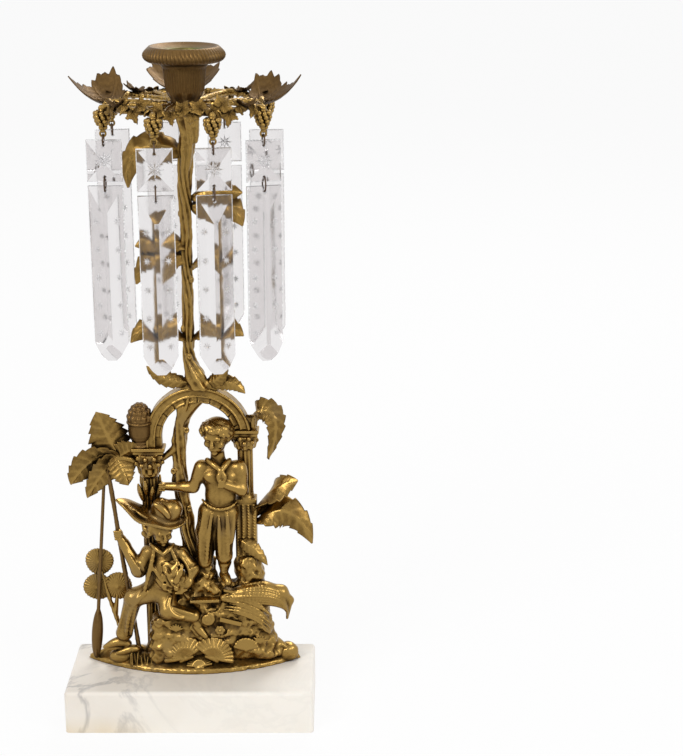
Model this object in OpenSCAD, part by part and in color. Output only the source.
// Girandole candle holder: a cast brass figure group on a marble block, a bark stem,
// a grapevine ring hung with glass prisms, and a candle cup with a lift-out drip pan.
// Millimetres, +Z up, origin at the centre of the marble block's underside.
// The viewer stands at -Y, so +X is the viewer's right.

/* [Marble base] */
// Width of the marble block
base_w = 150; // [136:1:190]
// Depth of the marble block
base_d = 66; // [50:1:90]
// Height of the marble block
base_h = 27; // [20:1:40]
// Rounding of the block's upright and upper edges
base_round = 2.5; // [1:0.5:5]

/* [Base bolts] */
// Shank diameter of the two bolts that hold the casting to the marble
bolt_d = 6; // [4:0.5:8]
// Distance between the two bolts
bolt_span = 64; // [40:1:80]
// Distance of the bolts behind the middle of the base
bolt_y = 6; // [4:0.5:7]
// Diameter of the recess under the marble for head and washer
recess_d = 20; // [17:1:26]
// Depth of that recess
recess_h = 9; // [8:0.5:14]

/* [Ground plate] */
// Length of the straight back of the cast ground plate
ground_w = 134; // [124:1:140]
// Depth of the plate from its straight back to the front of its bow
ground_d = 23; // [20:0.5:30]
// Thickness of the plate
ground_h = 8; // [7:0.5:12]
// How far the flat back lies behind the middle of the base
back_y = 13; // [12:0.5:16]

/* [Arch and columns] */
// Inner radius of the arch
arch_r = 22; // [20:0.5:26]
// Width of the arch's band of stones
arch_band = 9.5; // [7:0.5:12]
// Thickness of the arch from front to back
arch_t = 9; // [7:0.5:10]
// Place of the arch's middle to the right of the base's middle
arch_x = 7; // [4:0.5:10]
// Number of stones round the arch
arch_stones = 9; // [7:2:13]
// Height of the left column from the ground to the top of its slab
left_h = 135; // [125:1:150]
// Radius of the left column's fluted shaft
left_r = 5; // [4:0.25:6]
// Number of flutes round the left column
left_flutes = 12; // [8:1:14]
// Height of the straight leg between the left column's slab and the arch's spring line
arch_leg = 6; // [4:0.5:10]
// How far the right column's slab lies above the spring line
right_lift = 5; // [2:0.5:8]
// Radius of the right column's shaft
right_r = 4.8; // [4:0.2:6]
// Height of the right column above its pier
right_h = 44; // [38:1:50]
// Height of the right column's pier, which stands in the rock
pier_h = 40; // [30:1:50]

/* [Stem] */
// Height of the bark stem above the arch
stem_len = 163.5; // [150:0.5:190]
// Radius of the bark stem at its thinnest
stem_r = 3.2; // [2.6:0.1:4.5]
// Place of the stem's axis to the right of the base's middle
stem_x = 5; // [3:0.5:8]
// Place of the stem's axis behind the base's middle
stem_y = 3; // [1:0.5:6]

/* [Vine ring] */
// Radius of the circle on which the prisms hang
hang_r = 47.6; // [46:0.2:54]
// Thickness of the ring's vine
vine_d = 3.8; // [3:0.2:5]
// Thickness of the ring's hub
hub_h = 4; // [3:0.5:6]
// Radius of the ring's hub
hub_r = 9; // [8.5:0.5:11]
// Number of prisms
pendants = 8; // [6:1:8]
// How far the prism left of the front has been pushed along the ring, in degrees
stray_turn = 6.5; // [0:0.5:8]
// Radius of one grape
grape_r = 1.7; // [1.4:0.05:1.75]
// How much of its turn round the ring each prism keeps in the way it faces
facing_share = 0.1; // [0:0.05:0.2]
// How far all prisms have turned on their wires to the viewer's right, in degrees
facing_lean = 8; // [-10:1:12]

/* [Candle cup] */
// Height of the candle cup
cup_h = 22; // [20:0.5:30]
// Radius of the cup's mouth outside
cup_r = 12.7; // [12.2:0.1:16]
// Radius of the cup's foot
cup_foot_r = 7.8; // [6.5:0.1:8.4]
// Diameter of the screw that holds the cup and the ring to the stem
screw_d = 3.8; // [3:0.1:4.5]
// Radius of the drip pan's rim
pan_r = 22.2; // [19:0.2:28]
// Height of the drip pan above the cup
pan_h = 9; // [8:0.5:12]
// Diameter of the candle that the pan's socket takes
candle_d = 20; // [18:0.2:20.4]
// Wall of the pan's socket
socket_wall = 0.6; // [0.5:0.1:0.8]
// Length of the socket below the pan
socket_h = 8; // [5:0.5:9]

/* [Glass] */
// Width of a button and of a prism
glass_w = 19.6; // [16:0.2:22]
// Height of a button
button_h = 23.2; // [18:0.2:28]
// Length of a prism
prism_h = 101; // [80:1:110]
// Height of the prism's pointed end
prism_point = 11; // [6:0.5:16]
// Thickness of the glass at its edges
glass_edge = 2.5; // [2:0.1:3]
// Thickness of a prism along its ridge
prism_t = 8.4; // [6:0.2:10]
// Thickness of a button at its middle
button_t = 7.4; // [6:0.2:9]
// Width of the flat along the prism's ridge
ridge_w = 2.4; // [1:0.2:5]
// Length of the slope at a prism's top
hip_h = 14; // [10:0.5:20]
// Distance of a wire hole from the edge of the glass
hole_inset = 3; // [2.6:0.1:3.6]
// Radius of a wire hole
hole_r = 1.0; // [0.95:0.05:1.2]

/* [Wire rings] */
// Radius of the wire
wire_r = 0.45; // [0.35:0.05:0.5]
// Radius of the ring above each button
hook_r = 3.2; // [3:0.1:4]
// Radius of the ring between button and prism
link_r = 4.3; // [4.2:0.1:5.5]

/* [Hidden] */

brass = "#a67c2e";
dark_brass = "#7d5f2c";
marble = "#ece4d8";
glass = "#dfe3e6";
steel = "#6b6861";

// Gaps: between brass pieces of one casting, of a bolt in its hole, of rings that hang in each other
seat_gap = 0.05;
bolt_gap = 0.2;
ring_gap = 0.2;
glass_gap = 0.1;
socket_gap = 0.3;

$fn = 32;
arch_sides = 72;
limb_sides = 8;
stalk_sides = 6;
vine_sides = 6;
far = 400;

// Heights of the main levels
ground_top = base_h + ground_h;
left_top = ground_top + left_h;
spring_z = left_top + arch_leg;
arch_outer = arch_r + arch_band;
arch_top = spring_z + arch_outer;
right_top = spring_z + right_lift;
stem_top = arch_top + stem_len;
hub_top = stem_top + hub_h;
cup_top = hub_top + cup_h;

// Places of the columns, which stand under the arch's ends
arch_y = back_y - 5;
column_y = back_y - 6;
foot_mid = arch_r + arch_band / 2;
left_x = arch_x - foot_mid - 3.5;
right_x = arch_x + foot_mid + 0.5;
slab_h = 4;
slab_w = 20;
right_slab_w = 17;
slab_d = 11;
capital_h = 12;
right_capital_h = 7;
pier_w = 13;

// The ground plate's bow is an arc over its straight back
bow_r = (ground_w * ground_w / 4 + ground_d * ground_d) / (2 * ground_d);
bow_draft = 2.5;

// Bolt heads and washers
washer_h = 1.5;
washer_r = recess_d / 2 - 1.5;
head_h = 4;
head_r = min(bolt_d * 0.95, washer_r - 1);
bolt_in_plate = ground_h - 2;

// The vine ring and what hangs from it
vine_r = hang_r - 5.6;
vine_z = hub_top;
lug_h = 1.8;
lug_r = 2.4;
cluster_top = vine_z - 1.6;
cluster_h = 11.4;
eye_r = 1.0;
eye_bar = 0.55;
eye_z = cluster_top - cluster_h - eye_r - eye_bar;

// Hook ring, button, link ring and prism hang in each other in that order
hook_z = eye_z - eye_r + ring_gap + wire_r - hook_r;
glass_back = 1.9;
glass_front = glass_back - glass_edge;
function sag(r) =
    let (rise = sqrt(r * r - glass_back * glass_back))
    r - rise + wire_r * r / rise;
button_hole_z = hook_z - hook_r + sag(hook_r) + glass_gap - hole_r;
button_top = button_hole_z + hole_inset;
button_low_hole_z = button_top - button_h + hole_inset;
link_z = button_low_hole_z - hole_r + ring_gap + sag(link_r) - link_r;
prism_hole_z = link_z - link_r + sag(link_r) + glass_gap - hole_r;
prism_top = prism_hole_z + hole_inset;
function turn(k) = (k - 0.5) * 360 / pendants - 180 + (k == round(pendants / 2) ? stray_turn : 0);
function facing(k) =
    let (a = turn(k))
    facing_lean + (abs(a) < 90 ? a * facing_share : sign(a) * (180 - (180 - abs(a)) * facing_share));

// Candle cup and drip pan
socket_r = candle_d / 2 + socket_wall;
cup_bore_r = socket_r + socket_gap;
cup_floor = 4;
screw_r = screw_d / 2;
screw_hole_r = screw_r + bolt_gap;
screw_head_r = screw_d * 1.05;
screw_head_h = 2.5;
screw_reach = 9;

// Small vector helpers
function unit(v) = v / norm(v);
function mix(a, b, t) = a + (b - a) * t;
function all_but_last(p) = [for (i = [0:len(p) - 2]) p[i]];
function all_but_first(p) = [for (i = [1:len(p) - 1]) p[i]];
// A smooth curve drawn by its control points, at t from 0 to 1
function curve(p, t) = len(p) == 1 ? p[0] : mix(curve(all_but_last(p), t), curve(all_but_first(p), t), t);
function heading(p, t) = unit(curve(p, min(t + 0.02, 1)) - curve(p, max(t - 0.02, 0)));
function mirrored(p) = [for (q = p) [-q[0], q[1], q[2]]];

// A rod with round ends, and a chain of them
module rod(p, q, r, s, sides = limb_sides) {
    hull() {
        translate(p) sphere(r, $fn = sides);
        translate(q) sphere(s, $fn = sides);
    }
}

module chain(points, radii, sides = limb_sides) {
    for (i = [0:len(points) - 2]) {
        rod(points[i], points[i + 1], radii[i], radii[i + 1], sides);
    }
}

// An egg-shaped lump
module lump(p, size) {
    translate(p) scale(size) sphere(1, $fn = limb_sides + 2);
}

// A toothed leaf along a curve: side is the way its blade spreads, cup lifts its edges
leaf_steps = 6;
leaf_rows = [-1, 0, 1];
leaf_t = 1.3;
leaf_bite = 0.22;

function leaf_width(i) =
    max(0.06, pow(sin(180 * pow(i / leaf_steps, 0.75)), 0.8)) * (i % 2 == 0 ? 1 - leaf_bite : 1);
function leaf_row(path, half, side, cup, lift, i) =
    let (t = i / leaf_steps,
         d = heading(path, t),
         s = unit(side - (side * d) * d),
         n = cross(d, s),
         w = half * leaf_width(i))
    [for (u = leaf_rows) curve(path, t) + u * w * s + (cup * w * u * u + lift) * n];

module leaf(path, half, side, cup = 0.25, stalk_r = 1.1) {
    rows = len(leaf_rows);
    below = rows * (leaf_steps + 1);
    points = concat(
        [for (i = [0:leaf_steps]) each leaf_row(path, half, side, cup, leaf_t / 2, i)],
        [for (i = [0:leaf_steps]) each leaf_row(path, half, side, cup, -leaf_t / 2, i)]
    );
    a = [for (i = [0:leaf_steps - 1], j = [0:rows - 2]) [i * rows + j, (i + 1) * rows + j]];
    blade = [for (q = a) each [[q[0], q[0] + 1, q[1] + 1], [q[0], q[1] + 1, q[1]]]];
    under = [for (q = a) each [[q[0], q[1], q[1] + 1] + [1, 1, 1] * below,
                               [q[0], q[1] + 1, q[0] + 1] + [1, 1, 1] * below]];
    near = [for (i = [0:leaf_steps - 1]) let (p = i * rows, q = p + rows)
        each [[p, q, q + below], [p, q + below, p + below]]];
    other = [for (i = [0:leaf_steps - 1]) let (p = i * rows + rows - 1, q = p + rows)
        each [[p, p + below, q + below], [p, q + below, q]]];
    root = [for (j = [0:rows - 2])
        each [[j + 1, j, j + below], [j + 1, j + below, j + 1 + below]]];
    end = leaf_steps * rows;
    tip = [for (j = [0:rows - 2]) let (p = end + j)
        each [[p, p + 1, p + 1 + below], [p, p + 1 + below, p + below]]];
    polyhedron(points, concat(blade, under, near, other, root, tip));
    if (stalk_r > 0) {
        rod(path[0], curve(path, 0.25), stalk_r, stalk_r * 0.75, vine_sides);
    }
}

// The marble block, with two bolt holes and their recesses
function bolt_places() = [for (s = [-1, 1]) [s * bolt_span / 2, bolt_y, 0]];

module marble_base() {
    inset_x = base_w / 2 - base_round;
    inset_y = base_d / 2 - base_round;
    color(marble) difference() {
        hull() for (x = [-inset_x, inset_x], y = [-inset_y, inset_y]) {
            translate([x, y, 0]) cylinder(r = base_round, h = 1, $fn = 16);
            translate([x, y, base_h - base_round]) sphere(base_round, $fn = 16);
        }
        for (p = bolt_places()) translate(p) {
            translate([0, 0, -1]) cylinder(d = recess_d, h = recess_h + 1);
            cylinder(d = bolt_d + 2 * bolt_gap, h = base_h + 1);
        }
    }
}

module base_bolts() {
    color(steel) for (p = bolt_places()) translate(p + [0, 0, recess_h - washer_h - head_h]) {
        cylinder(r = head_r, h = head_h, $fn = 6);
        cylinder(d = bolt_d, h = base_h + bolt_in_plate - 0.5 - recess_h + washer_h + head_h);
    }
}

module base_washers() {
    color(steel) for (p = bolt_places()) translate(p + [0, 0, recess_h - washer_h]) difference() {
        cylinder(r = washer_r, h = washer_h);
        translate([0, 0, -1]) cylinder(d = bolt_d + 2 * bolt_gap, h = washer_h + 2);
    }
}

// The ground plate: a bow with a straight back, and a rounded stone at its right end
stone_r = 5.6;

module ground_plate() {
    color(brass) difference() {
        union() {
            intersection() {
                translate([0, back_y - ground_d + bow_r, base_h])
                    cylinder(r1 = bow_r, r2 = bow_r - bow_draft, h = ground_h, $fn = 180);
                translate([-far / 2, back_y - ground_d - 1, base_h - 1])
                    cube([far, ground_d + 1, ground_h + 2]);
            }
            intersection() {
                translate([ground_w / 2 - 7.5, back_y - 1, base_h + 2]) sphere(stone_r);
                translate([-far / 2, -far / 2, base_h]) cube(far);
            }
        }
        for (p = bolt_places()) translate(p + [0, 0, base_h - 1])
            cylinder(d = bolt_d + 2 * bolt_gap, h = bolt_in_plate + 1);
    }
}

// Left column: fluted shaft, flaring capital and the slab that carries the arch and the urn
module left_column_form(grow = 0) {
    shaft_h = left_h - slab_h - capital_h;
    translate([left_x, column_y, ground_top]) {
        cylinder(r = left_r + grow, h = shaft_h + 1);
        translate([0, 0, shaft_h]) {
            cylinder(r1 = left_r + grow, r2 = left_r + 2.2 + grow, h = capital_h);
            cylinder(r = left_r + 0.9 + grow, h = 1.6);
        }
        translate([-slab_w / 2 - grow, -slab_d / 2 - grow, left_h - slab_h - grow])
            cube([slab_w + 2 * grow, slab_d + 2 * grow, slab_h + 2 * grow]);
    }
}

module left_column() {
    flute_r = 0.85;
    color(brass) difference() {
        left_column_form();
        translate([left_x, column_y, ground_top]) for (i = [0:left_flutes - 1])
            rotate(i * 360 / left_flutes) translate([left_r + 0.35, 0, 3])
                cylinder(r = flute_r, h = left_h - slab_h - capital_h - 6, $fn = 24);
    }
}

// Right column: a grooved pier that stands in the rock, a shaft, a banded capital and a slab
module right_column_form(grow = 0) {
    pier_top = right_top - right_h;
    translate([right_x, arch_y, 0]) {
        translate([-pier_w / 2 - grow, -pier_w / 2 + 1.5 - grow, pier_top - pier_h])
            cube([pier_w + 2 * grow, pier_w - 3 + 2 * grow, pier_h]);
        translate([0, 0, pier_top - 1]) cylinder(r = right_r + grow, h = right_h - slab_h + 1);
        translate([0, 0, right_top - slab_h - right_capital_h]) {
            cylinder(r1 = right_r + 0.6 + grow, r2 = right_r + 1.8 + grow, h = right_capital_h);
            cylinder(r = right_r + 1.2 + grow, h = 1.4);
        }
        translate([-right_slab_w / 2 - grow, -slab_d / 2 - grow, right_top - slab_h - grow])
            cube([right_slab_w + 2 * grow, slab_d + 2 * grow, slab_h + 2 * grow]);
    }
}

module right_column() {
    groove = 0.8;
    color(brass) difference() {
        right_column_form();
        for (i = [-1:1]) translate([right_x + i * 3.4 - groove / 2, arch_y - pier_w / 2, 0])
            translate([0, 1, right_top - right_h - pier_h + 4]) cube([groove, 1.3, pier_h - 8]);
    }
}

// The arch: a band of stones that ends on the two slabs
module arch_form(grow = 0) {
    outer = arch_outer + grow;
    inner = arch_r - grow;
    translate([arch_x, arch_y, spring_z]) rotate([90, 0, 0])
        linear_extrude(arch_t + 2 * grow, center = true) {
            difference() {
                circle(outer, $fn = arch_sides);
                circle(inner, $fn = arch_sides);
                translate([-far, -far]) square([far, far]);
                translate([0, right_lift - grow - far]) square([far, far]);
            }
            translate([-outer, -arch_leg - grow])
                square([arch_band + 2 * grow, arch_leg + 2 * grow]);
        }
}

module arch() {
    joint_w = 0.8;
    joint_d = 0.9;
    step = 180 / arch_stones;
    color(brass) difference() {
        arch_form();
        translate([arch_x, arch_y - arch_t / 2, spring_z]) for (i = [1:arch_stones - 1])
            rotate([0, -i * step, 0]) translate([arch_r + 1.2, -1, -joint_w / 2])
                cube([arch_band - 2.4, joint_d + 1, joint_w]);
    }
}

// A small urn with a tall domed lid beside the arch, on the left column's slab
urn_r = 8;
urn_x = left_x - slab_w / 2 + 5.4;
lid_z = 15;
lid_h = 11.6;

module column_urn() {
    lid_r = urn_r - 0.6;
    body = [[0, 0], [5, 0], [5, 1.4], [3.2, 4.6], [urn_r - 2.4, 8], [urn_r - 2, lid_z - 3],
        [urn_r, lid_z - 2.4], [urn_r, lid_z - 0.4]];
    lid = [for (a = [0:15:90]) [lid_r * cos(a), lid_z + lid_h * sin(a)]];
    color(dark_brass) difference() {
        translate([urn_x, column_y, left_top]) rotate_extrude() polygon(concat(body, lid));
        arch_form(seat_gap);
    }
}

// A drooping frond that springs from the right column's slab
module capital_frond() {
    foot = [right_x + right_slab_w / 2 - 2.2, arch_y - 1, right_top];
    droop = [[-1, 0, -1], [-4, -1, 11], [3, -2, 16], [22, -3, 18], [15, -3, -2], [8, -3, -18]];
    stalk = [[0, 0, -1], [-1.2, 0, 5], [1, -0.6, 9], [5, -1, 11]];
    color(brass) difference() {
        union() {
            leaf([for (p = droop) foot + p], 7, [1, 0.4, 1], 0.3);
            chain([for (p = stalk) foot + p], [2, 1.9, 2, 1.8], stalk_sides);
        }
        arch_form(seat_gap);
        right_column_form(seat_gap);
    }
}

// Places on the figures and the rocks are measured from the middle of the ground plate's top.
// They are drawn for the plate and column sizes below, and grow with the plate and the column
drawn_group = [134, 23, 135];

module on_ground() {
    translate([0, 0, ground_top])
        scale([ground_w / drawn_group[0], ground_d / drawn_group[1], left_h / drawn_group[2]]) children();
}

// The seated boatman: broad hat, jacket, one hand on the staff, one leg stretched to the ground
seat_hip = [-20, 2, 45];
seat_chest = [-15, -1, 62];
seat_head = [-15.5, -3, 85.5];
seat_fist = [-42.5, 2.5, 80.5];
seat_elbow = [-31, -1, 57];
seat_knee = [-38.6, -2, 39];
seat_ankle = [-43.6, 4, 13];
hat_mid = [-20, -3.5, 95.5];
hat_tilt = 18;

module seated_form() {
    on_ground() {
        chain([seat_hip, seat_chest], [9, 9.5]);
        rod([-26, 1, 69], [-4, -1, 67], 5.2, 5.2);
        rod([-14, -4, 52], [-13, -4, 62], 8, 6.5);
        rod([-16, -1.5, 71], [-15.8, -3, 81], 3.8, 3.6);
        lump(seat_head, [6.4, 6.8, 7.6]);
        lump([-22.5, 0.5, 86], [4.6, 5, 5.4]);
        translate(hat_mid) rotate([8, hat_tilt, 0]) {
            lump([0, 0, 0], [23, 10, 2.2]);
            lump([8.5, 0.5, 8], [8.6, 7.6, 8.6]);
        }
        chain([[-26, 1, 69], seat_elbow, seat_fist + [1, 0, -1.5]], [4.6, 4, 2.9]);
        lump(seat_fist, [3.4, 3.6, 3.8]);
        chain([[-4, -1, 67], [4.5, -2, 57.5], [-6, -8, 45]], [4.6, 3.9, 2.8]);
        lump([-7, -8.5, 44], [3.2, 2.6, 2.8]);
        chain([[-24, 0, 43], seat_knee, seat_ankle, [-43, 5, 5]], [7.6, 5.8, 4.2, 3.2]);
        chain([[-39.5, 5, 4.6], [-45, 4.6, 4.6], [-49.5, 4.4, 3.4], [-53.2, 4, 2.4]], [3.2, 3.6, 2.8, 1.8]);
        chain([[-15, -1, 42], [-15, -8, 32], [2, -6, 28.5]], [7.4, 5.4, 4]);
        chain([[2, -6, 28.5], [6, -6, 20], [9, -7.5, 17]], [3.6, 2.8, 1.8]);
    }
}

module seated_boatman() {
    color(brass) intersection() {
        difference() {
            seated_form();
            left_column_form(seat_gap);
            staff_form(seat_gap);
        }
        casting_space();
    }
}

// The half space in front of the flat back and above the ground plate
module casting_space() {
    translate([-far / 2, back_y - far, ground_top]) cube(far);
}

// The standing youth: one arm stretched to the left column, one hand at the chest
stand_head = [18, 0, 144.8];
stand_hip = [20, 1, 97];
stand_knee = [21.5, -1.5, 77];

module standing_form() {
    on_ground() {
        lump(stand_head, [7.4, 7.6, 10.4]);
        lump(stand_head + [0.2, 1.4, 2.4], [8.8, 7.8, 8.4]);
        rod([18.5, 1, 129], [18.3, 0.5, 138], 3.9, 3.6);
        rod([9.5, 1, 123.5], [30.5, 1, 122], 4.4, 4.6);
        chain([[20, 0, 117], [21.3, 0.5, 106], stand_hip], [9, 7.4, 8.4]);
        chain([[9, 1, 124], [2.8, 0.5, 111.2], [-16, 4.5, 111.5]], [4.4, 3.3, 2.6]);
        chain([[31, 1, 122], [34, -2, 108], [21.5, -7, 115.5]], [4.8, 3.8, 2.7]);
        lump([20.5, -7.6, 116.5], [3.2, 2.4, 3]);
        chain([[15.5, 1, 95], [11, -1.5, 83], [9.5, 0, 66]], [7.4, 6.4, 5.2]);
        chain([[23, 1, 95], stand_knee, [20, 0.5, 57]], [7.2, 4.9, 3]);
        chain([[20, 0.5, 56], [21.5, -2.5, 53], [23, -6, 52]], [2.9, 2.6, 1.8]);
    }
}

module standing_youth() {
    color(brass) intersection() {
        difference() {
            standing_form();
            left_column_form(seat_gap);
            right_column_form(seat_gap);
            arch_form(seat_gap);
            trunk_form();
        }
        casting_space();
    }
}

// The tree trunk inside the arch, with a twig to the left column
module trunk_form() {
    on_ground() {
        chain([[2, 7, 40], [0.5, 7, 70], [-2.4, 8, 88], [-5.2, 8, 113], [-4.8, 8, 138], [-1.5, 8, 158],
               [2, 8, 166]], [5.6, 5.4, 5, 4.7, 4.5, 4.3, 4]);
        chain([[-4.8, 8, 134], [-9, 8, 131.5], [-14, 8, 127]], [2.2, 1.7, 1.4], stalk_sides);
        chain([[-1.5, 8, 158], [3, 7.5, 162], [9, 7.5, 164]], [3.4, 2.6, 1.8], stalk_sides);
    }
}

module tree_trunk() {
    color(brass) intersection() {
        difference() {
            trunk_form();
            left_column_form(seat_gap);
            arch_form(seat_gap);
            rock_form();
            seated_form();
        }
        casting_space();
    }
}

// The rocks that carry the figures and the right column
module rock_form() {
    mound = [[-14, 3, 4, 9], [4, 4, 25, 10], [30, 5, 22, 10], [43, 7, 3, 8]];
    on_ground() {
        hull() for (m = mound) translate([m[0], m[1], m[2]]) sphere(m[3], $fn = limb_sides);
        rod([8, 5, 59], [6, 5, 26], 7.4, 11);
        rod([22, 4, 43], [26, 4, 16], 7.2, 10);
        rod([35, 7, 59], [38, 6, 28], 8.4, 9.5);
        rod([38, 6, 28], [46, 8, 2], 8.5, 7.5);
        rod([45, 8, 2], [57, 10, 0], 6, 3);
        rod([-6, 5, 40], [-12, 4, 10], 8.5, 9.5);
        rod([-14, 2, 27], [-16, 1, 6], 7.5, 9);
        rod([-4, 1, 36], [14, 2, 43], 6, 6.5);
        rod([12, 0, 30], [38, 3, 34], 8, 8);
        rod([-20, 6, 1], [-44, 8, 0], 6, 3.5);
    }
}

module rockwork() {
    color(brass) intersection() {
        difference() {
            rock_form();
            standing_form();
            seated_form();
            left_column_form(seat_gap);
            right_column_form(seat_gap);
            staff_form(seat_gap);
        }
        casting_space();
    }
}

// The staff in the boatman's fist, from the rock to the leaves above
staff_low = [-33.2, 4.5, 1];
staff_top = [-47.8, 2.5, 122];
staff_r = 1.35;

// Turns +Z to the way from p to q and moves it to p
module along(p, q) {
    d = q - p;
    translate(p) rotate([0, acos(d[2] / norm(d)), atan2(d[1], d[0])]) children();
}

module staff_form(grow = 0) {
    on_ground() along(staff_low, staff_top)
        cylinder(r = staff_r + grow, h = norm(staff_top - staff_low) + grow);
}

module fishing_staff() {
    color(dark_brass) staff_form();
}

// The paddle: a thin pole that ends in a long spindle blade on the ground
paddle_low = [-60.6, 9, 0.3];
paddle_top = [-50, 6.5, 121];
paddle_r = 1.05;
blade_r = 3.5;
blade_h = 32;

module paddle_form(grow = 0) {
    pole = norm(paddle_top - paddle_low);
    on_ground() along(paddle_low, paddle_top) rotate_extrude() polygon([
        [0, 0], [blade_r - 1 + grow, 0], [blade_r + grow, blade_h * 0.35],
        [blade_r - 0.2 + grow, blade_h * 0.6], [blade_r - 1.6 + grow, blade_h * 0.9],
        [paddle_r + grow, blade_h], [paddle_r + grow, pole], [0, pole]]);
}

module paddle() {
    color(dark_brass) paddle_form();
}

// Three round ribbed leaves on a stalk behind the paddle
module round_leaf(p, r) {
    ribs = 8;
    rim = [for (a = [0:15:345]) r * (1 + 0.05 * cos(ribs * a)) * [cos(a), sin(a)]];
    translate(p) rotate([90, 0, 0]) linear_extrude(2, scale = 0.3) polygon(rim);
}

module round_leaves() {
    base_y = back_y - 0.8;
    color(brass) intersection() {
        difference() {
            on_ground() {
                round_leaf([-56.5, base_y, 58], 8.6);
                round_leaf([-58.4, base_y, 41], 8.6);
                round_leaf([-45.8, base_y, 41.5], 8.8);
                chain([[-53, base_y - 0.7, 40], [-50, base_y - 0.7, 28], [-45, base_y - 1, 12],
                       [-41, base_y - 1.5, -1]], [1, 1.2, 1.4, 1.8], stalk_sides);
            }
            seated_form();
            rock_form();
            paddle_form(seat_gap);
            staff_form(seat_gap);
        }
        casting_space();
    }
}

// The large lobed leaf beside the left column
left_hub = [-43, 3.5, 128];

module left_leaf_spray() {
    lobes = [
        [[[0, 0, 0], [-6, -1, 12], [-9, -3, 30]], 9],
        [[[0, 0, 0], [-14, -2, 4], [-22, -3, -4], [-29.5, -4, -15]], 8.5],
        [[[0, 0, 0], [-8, -2, -6], [-16.5, -4, -22]], 6],
        [[[0, 0, 0], [2, -2, -6], [5.5, -3, -15]], 7],
        [[[0, 0, 0], [4, 0, 6], [6, -1, 18]], 6]
    ];
    color(brass) difference() {
        on_ground() {
            for (lobe = lobes) leaf([for (p = lobe[0]) left_hub + p], lobe[1], [1, 0.35, -0.5], 0.15);
            chain([left_hub, left_hub + [6, 1.5, 1], left_hub + [14, 3.5, -2], left_hub + [18, 3.5, -7]],
                [2, 1.8, 1.8, 1.6], stalk_sides);
        }
        left_column_form(seat_gap);
        staff_form(seat_gap);
        paddle_form(seat_gap);
    }
}

// Two large drooping leaves and a small one on the right column's pier
module right_leaf_spray() {
    hub = [right_x + pier_w / 2 - 1, arch_y - 1, right_top - right_h - 12];
    blades = [
        [[[0, 0, 0], [4, -2, 14], [14, -3, 22], [25, -3, 23]], 8],
        [[[0, 0, -4], [10, -3, 8], [26, -4, 10], [34, -4, -16]], 9]
    ];
    color(brass) difference() {
        union() {
            for (b = blades) leaf([for (p = b[0]) hub + p], b[1], right_blade, 0.2);
            leaf([for (p = [[-10, -3, -14], [-6, -7, -15], [1, -8, -18], [7, -7, -29]]) hub + p],
                5, right_blade, 0.2);
            rod(hub + [-2, 0, -8], hub + [0, 0, 4], 2.4, 2, stalk_sides);
        }
        right_column_form(seat_gap);
        standing_form();
        rock_form();
    }
}

// A sheaf of long leaves that lies over the right rock
module leaf_sheaf() {
    color(brass) intersection() {
        difference() {
            on_ground() {
                chain([[20, -7, 43], [32, -6, 47], [46, -2, 46], [56, 0, 44], [60, 1, 38], [58.5, 1, 26]],
                    [3, 6, 7, 5.5, 4, 1.2]);
                chain([[22, -9, 42], [32, -9, 43], [42, -8, 41], [48, -7, 34]], [2, 3.5, 3.5, 1.2]);
            }
            rock_form();
            standing_form();
            right_column_form(seat_gap);
        }
        casting_space();
    }
}

// Scallop shells on the rocks in front: ribs that fan out from a hinge
module scallop(p, r, aim) {
    ribs = 7;
    translate(p) rotate(aim) for (i = [0:ribs - 1]) {
        a = (i - (ribs - 1) / 2) * 24;
        rod([0, 0, 0], [r * sin(a), -r * 0.12, r * cos(a)], r * 0.2, r * 0.26, stalk_sides);
    }
}

module shells() {
    color(brass) intersection() {
        difference() {
            on_ground() {
                scallop([-5, -6, 2], 8.5, [-25, -20, 0]);
                scallop([17, -6.5, 5], 8.5, [-25, 35, 0]);
                scallop([7, -8.5, -1], 6.5, [-35, 0, 0]);
            }
            rock_form();
            seated_form();
        }
        casting_space();
    }
}

// The bark stem: it spreads on the arch, winds a little, and ends in a flat seat for the ring.
// Places on the stem are measured from its foot on the arch, and grow with its length and the ring
drawn_stem = [47.6, 163.5];

module on_stem() {
    spread = hang_r / drawn_stem[0];
    translate([stem_x, stem_y, arch_top]) scale([spread, spread, stem_len / drawn_stem[1]]) children();
}

module stem_form() {
    lean = [[3, 3, 0], [1, 3, 6], [-2.4, 2, 18], [-2, 1, 54], [-1.7, 1, 90], [-1.9, 0, 121], [-0.4, 0, 141],
            [2.4, 0, 156], [1.5, 0, drawn_stem[1]]];
    thick = [3.4, 3, 0.2, 0, 0, 0.6, 1.3, 1.4, 2.4];
    on_stem() {
        chain(lean, [for (t = thick) stem_r + t]);
        rod([3, 3, 1], [-6, 4, -2.5], 4, 2.4);
        rod([3, 3, 1], [11, 4, -1.5], 4, 2.6);
    }
    translate([stem_x, stem_y, stem_top - 5]) cylinder(r = hub_r - 2, h = 5, $fn = 24);
}

module stem() {
    color(brass) difference() {
        stem_form();
        arch_form(seat_gap);
        translate([-far / 2, -far / 2, stem_top]) cube(far);
        translate([stem_x, stem_y, stem_top - screw_reach - 1])
            cylinder(r = screw_hole_r, h = screw_reach + 2, $fn = 24);
    }
}

// The leaves along the stem and on the shoulders of the arch. Each blade faces the viewer
left_blade = [-1, 0.4, 1];
right_blade = [-1, -0.4, -1];

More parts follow.
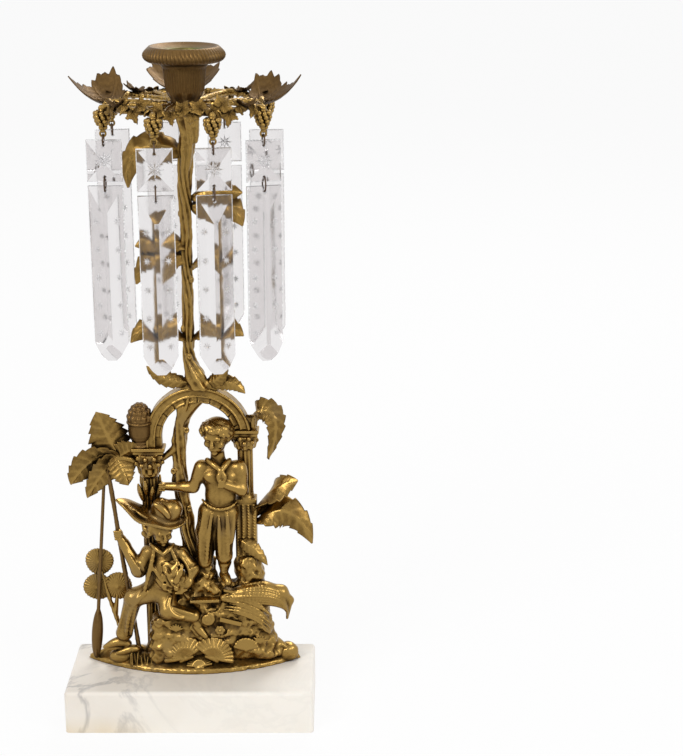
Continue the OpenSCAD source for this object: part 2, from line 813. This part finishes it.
module stem_leaves() {
    blades = [
        [[[-1, 1, 139], [-14, -2, 146], [-35, -3, 148], [-33, -3, 120]], 8, left_blade],
        [[[1, 1, 113], [10, -2, 120], [20, -3, 118], [31, -3, 117]], 6, right_blade],
        [[[1, 1, 108], [12, -2, 112], [25, -3, 115], [30.5, -3, 98]], 8, right_blade],
        [[[-1, 1, 84], [-10, -2, 93], [-20, -3, 90], [-30.5, -3, 86]], 6, left_blade],
        [[[-1, 1, 78], [-12, -2, 83], [-25, -3, 82], [-30.5, -3, 64]], 8.5, left_blade],
        [[[1, 1, 72], [7, -1, 84], [15, -2, 87], [17, -2, 70]], 6.5, right_blade],
        [[[-2, 2, 28], [-13, -2, 42], [-26, -3, 43], [-35, -3, 29]], 7.5, left_blade],
        [[[-1, 2, 28], [9, -2, 43], [20, -3, 42], [30, -3, 33]], 7.5, right_blade],
        [[[-2, 3, 3], [-13, 0, 4], [-20, -1, 6], [-27, -1, 14]], 5, [0.5, 0.4, 1]],
        [[[7, 3, 3], [13, 0, 3], [17, -1, 8], [20, -1, 15]], 5, [0.6, -0.4, -0.6]],
        [[[9, 3, 1], [18, 0, 6], [25, -1, 4], [30, 0, -3]], 5, right_blade]
    ];
    color(brass) difference() {
        on_stem() for (b = blades) leaf(b[0], b[1], b[2], 0.25, 0);
        stem_form();
        arch_form(seat_gap);
    }
}

// One point of the ring's winding vine
vine_steps = 24;
vine_waves = 8;

function vine_point(i) =
    let (a = i * 360 / vine_steps, r = vine_r + 0.9 * cos(vine_waves * a))
    [r * sin(a), -r * cos(a), 0.7 * sin(vine_waves * a)];

// The vine itself: rings of points round its winding centre line
module vine_tube() {
    points = [for (i = [0:vine_steps - 1], j = [0:vine_sides - 1])
        let (p = vine_point(i), out = unit([p[0], p[1], 0]), a = j * 360 / vine_sides)
        p + vine_d / 2 * (cos(a) * out + [0, 0, sin(a)])];
    faces = [for (i = [0:vine_steps - 1], j = [0:vine_sides - 1])
        let (next = (i + 1) % vine_steps * vine_sides, here = i * vine_sides, up = (j + 1) % vine_sides)
        each [[here + j, here + up, next + up], [here + j, next + up, next + j]]];
    polyhedron(points, faces);
}

// The grapevine ring: a winding vine on wavy spokes round a hub, and a lug over each cluster
module vine_form() {
    spokes = 6;
    reach = vine_r - hub_r + 1;
    translate([stem_x, stem_y, vine_z]) {
        vine_tube();
        for (i = [0:spokes - 1]) rotate(i * 360 / spokes + 30) translate([0, -hub_r + 1, -hub_h / 2])
            chain([[0, 0, 0], [2.5, -reach * 0.5, 1.4], [0, -reach, hub_h / 2]], [2, 1.7, 1.6], vine_sides);
        for (k = [1:pendants]) rotate(turn(k)) hull() {
            translate([0, -vine_r, 0]) sphere(1.5, $fn = vine_sides);
            translate([0, -hang_r, cluster_top - vine_z]) cylinder(r = lug_r, h = lug_h, $fn = limb_sides);
        }
        translate([0, 0, -hub_h]) cylinder(r = hub_r, h = hub_h, $fn = 32);
    }
}

module vine_ring() {
    color(brass) difference() {
        vine_form();
        translate([stem_x, stem_y, hub_top - hub_h - 1])
            cylinder(r = screw_hole_r, h = hub_h + 2, $fn = 24);
        translate([stem_x, stem_y, hub_top]) cylinder(r = hub_r + 1, h = hub_h, $fn = 32);
        translate([stem_x, stem_y, stem_top - hub_h]) cylinder(r = hub_r + 1, h = hub_h, $fn = 32);
    }
}

// The vine's leaves: a lobed leaf at each side and at the back, and small ones between
vine_leaf_turns = [-90, 90, 180];
small_leaf_turns = [-48, 26, 50, -135, 135];

module lobed_leaf() {
    side_lobe = [[1, -0.2, 0.4], [8, -3, 2.6], [14, -5, 9], [19, -7, 15.5]];
    leaf([[0, -0.5, 0.4], [0, -6, 1.5], [0, -15, 6], [0, -21, 13]], 8.2, [1, 0, 0], 0.25, 0);
    for (p = [side_lobe, mirrored(side_lobe)]) {
        leaf(p, 7.2, [p[0][0] * 0.35, 1, 0], 0.2 * sign(p[0][0]), 0);
    }
}

module vine_leaves() {
    color(dark_brass) difference() {
        translate([stem_x, stem_y, vine_z]) {
            for (a = vine_leaf_turns) rotate(a) translate([0, -vine_r, 0]) lobed_leaf();
            for (a = small_leaf_turns) rotate(a) translate([0, -vine_r, 0])
                leaf([[0, 0, 1], [1, -2, 4], [2, -5, 8], [3, -6, 12]], 4, [1, 0, 0], 0.3, 0);
        }
        vine_form();
    }
}

// The grape clusters: rows of grapes round a tapering core, with an eye for the hook below
grape_rows = [[5, 2.0, -2.9, 0], [5, 1.75, -6.1, 36], [3, 1.18, -9.3, 0]];

module grape_cluster() {
    translate([0, 0, -cluster_h]) cylinder(r1 = 0.9, r2 = lug_r, h = cluster_h - seat_gap);
    for (row = grape_rows, i = [0:row[0] - 1])
        rotate(row[3] + i * 360 / row[0]) translate([0, -row[1] * grape_r, row[2]]) sphere(grape_r);
    translate([0, 0, eye_z - cluster_top]) rotate([90, 0, 0])
        rotate_extrude() translate([eye_r + eye_bar, 0]) circle(eye_bar, $fn = 24);
}

// The line under a lug on which one prism hangs, turned the way that prism faces
module hung(k) {
    a = turn(k);
    translate([stem_x + hang_r * sin(a), stem_y - hang_r * cos(a), 0]) rotate(facing(k)) children();
}

module grape_clusters() {
    color(brass) for (k = [1:pendants]) hung(k) translate([0, 0, cluster_top]) grape_cluster();
}

// Candle cup: a tapering wall over a rounded foot, with a bore for the pan's socket
module candle_cup() {
    bore_low = cup_h - socket_h - 1;
    color(dark_brass) translate([stem_x, stem_y, hub_top]) rotate_extrude() polygon([
        [screw_hole_r, 0], [cup_foot_r, 0], [cup_foot_r + 0.4, 1.6], [cup_foot_r + 2.6, 5],
        [cup_r - 0.9, cup_h - 6], [cup_r, cup_h - 0.8], [cup_r, cup_h], [cup_bore_r, cup_h],
        [cup_bore_r, bore_low], [cup_foot_r + 0.6, cup_floor + 2], [cup_foot_r - 1, cup_floor],
        [screw_hole_r, cup_floor]]);
}

module cup_screw() {
    color(steel) translate([stem_x, stem_y, hub_top + cup_floor]) {
        difference() {
            cylinder(r = screw_head_r, h = screw_head_h);
            translate([-screw_head_r, -0.5, screw_head_h - 1]) cube([2 * screw_head_r, 1, 2]);
        }
        translate([0, 0, -cup_floor - hub_h - screw_reach])
            cylinder(r = screw_r, h = cup_floor + hub_h + screw_reach + 0.5);
    }
}

// Drip pan: a dished pan with a rounded rim and a socket that drops into the cup
module drip_pan() {
    rim_r = 2.7;
    color(dark_brass) translate([stem_x, stem_y, cup_top]) rotate_extrude() union() {
        polygon([[candle_d / 2, -socket_h], [socket_r, -socket_h], [socket_r, 0], [cup_r + 1, 0],
            [pan_r - rim_r, rim_r * 0.35], [pan_r - rim_r, pan_h - 2], [pan_r - rim_r - 0.5, pan_h],
            [pan_r - rim_r - 1.7, pan_h], [candle_d / 2 + 1.6, pan_h - 2.8], [candle_d / 2, pan_h - 2.8]]);
        translate([pan_r - rim_r, rim_r + 0.6]) circle(rim_r);
    }
}

// Wire rings: each lies in the upright plane in which its prism swings
module wire_ring(r, z) {
    translate([0, 0, z]) rotate([0, 90, 0]) rotate_extrude() translate([r, 0]) circle(wire_r, $fn = 24);
}

module hook(k) {
    color(steel) hung(k) wire_ring(hook_r, hook_z);
}

module link(k) {
    color(steel) hung(k) wire_ring(link_r, link_z);
}

// A hole through the glass for a wire
module wire_hole(z) {
    translate([0, 0, z]) rotate([90, 0, 0]) cylinder(r = hole_r, h = 4 * prism_t, center = true, $fn = 24);
}

// A button: a flat-backed glass square cut to a low pyramid in front
module button(k) {
    peak = glass_back - button_t;
    half = glass_w / 2;
    color(glass) hung(k) difference() {
        intersection() {
            translate([0, 0, button_top - button_h]) linear_extrude(button_h)
                polygon([[-half, glass_back], [-half, glass_front], [0, peak], [half, glass_front],
                    [half, glass_back]]);
            translate([0, 0, button_top - button_h / 2]) rotate([90, 0, 90])
                linear_extrude(glass_w + 2, center = true)
                    polygon([[glass_back, -button_h / 2], [glass_front, -button_h / 2], [peak, 0],
                        [glass_front, button_h / 2], [glass_back, button_h / 2]]);
        }
        wire_hole(button_hole_z);
        wire_hole(button_low_hole_z);
    }
}

// A prism: a long ridged bar, hipped at its top and cut to a blunt point
module prism(k) {
    peak = glass_back - prism_t;
    half = glass_w / 2;
    color(glass) hung(k) difference() {
        intersection() {
            translate([0, 0, prism_top - prism_h]) linear_extrude(prism_h)
                polygon([[-half, glass_back], [-half, glass_front], [-ridge_w / 2, peak],
                    [ridge_w / 2, peak], [half, glass_front], [half, glass_back]]);
            translate([0, 0, prism_top]) rotate([90, 0, 90]) linear_extrude(glass_w + 2, center = true)
                polygon([[glass_back, 0], [glass_front, 0], [peak, -hip_h], [peak, prism_point - prism_h],
                    [glass_front, -prism_h], [glass_back, -prism_h]]);
            translate([0, 0, prism_top]) rotate([90, 0, 0]) linear_extrude(4 * prism_t, center = true)
                polygon([[-half, 0], [half, 0], [half, prism_point - prism_h],
                    [half * 0.5, prism_point * 0.25 - prism_h], [ridge_w, -prism_h], [-ridge_w, -prism_h],
                    [-half * 0.5, prism_point * 0.25 - prism_h], [-half, prism_point - prism_h]]);
        }
        wire_hole(prism_hole_z);
    }
}

marble_base();
base_bolts();
base_washers();
ground_plate();
rockwork();
seated_boatman();
standing_youth();
left_column();
right_column();
arch();
column_urn();
capital_frond();
left_leaf_spray();
right_leaf_spray();
round_leaves();
fishing_staff();
paddle();
leaf_sheaf();
shells();
tree_trunk();
stem();
stem_leaves();
vine_ring();
vine_leaves();
grape_clusters();
candle_cup();
cup_screw();
drip_pan();
for (k = [1:pendants]) {
    hook(k);
    button(k);
    link(k);
    prism(k);
}
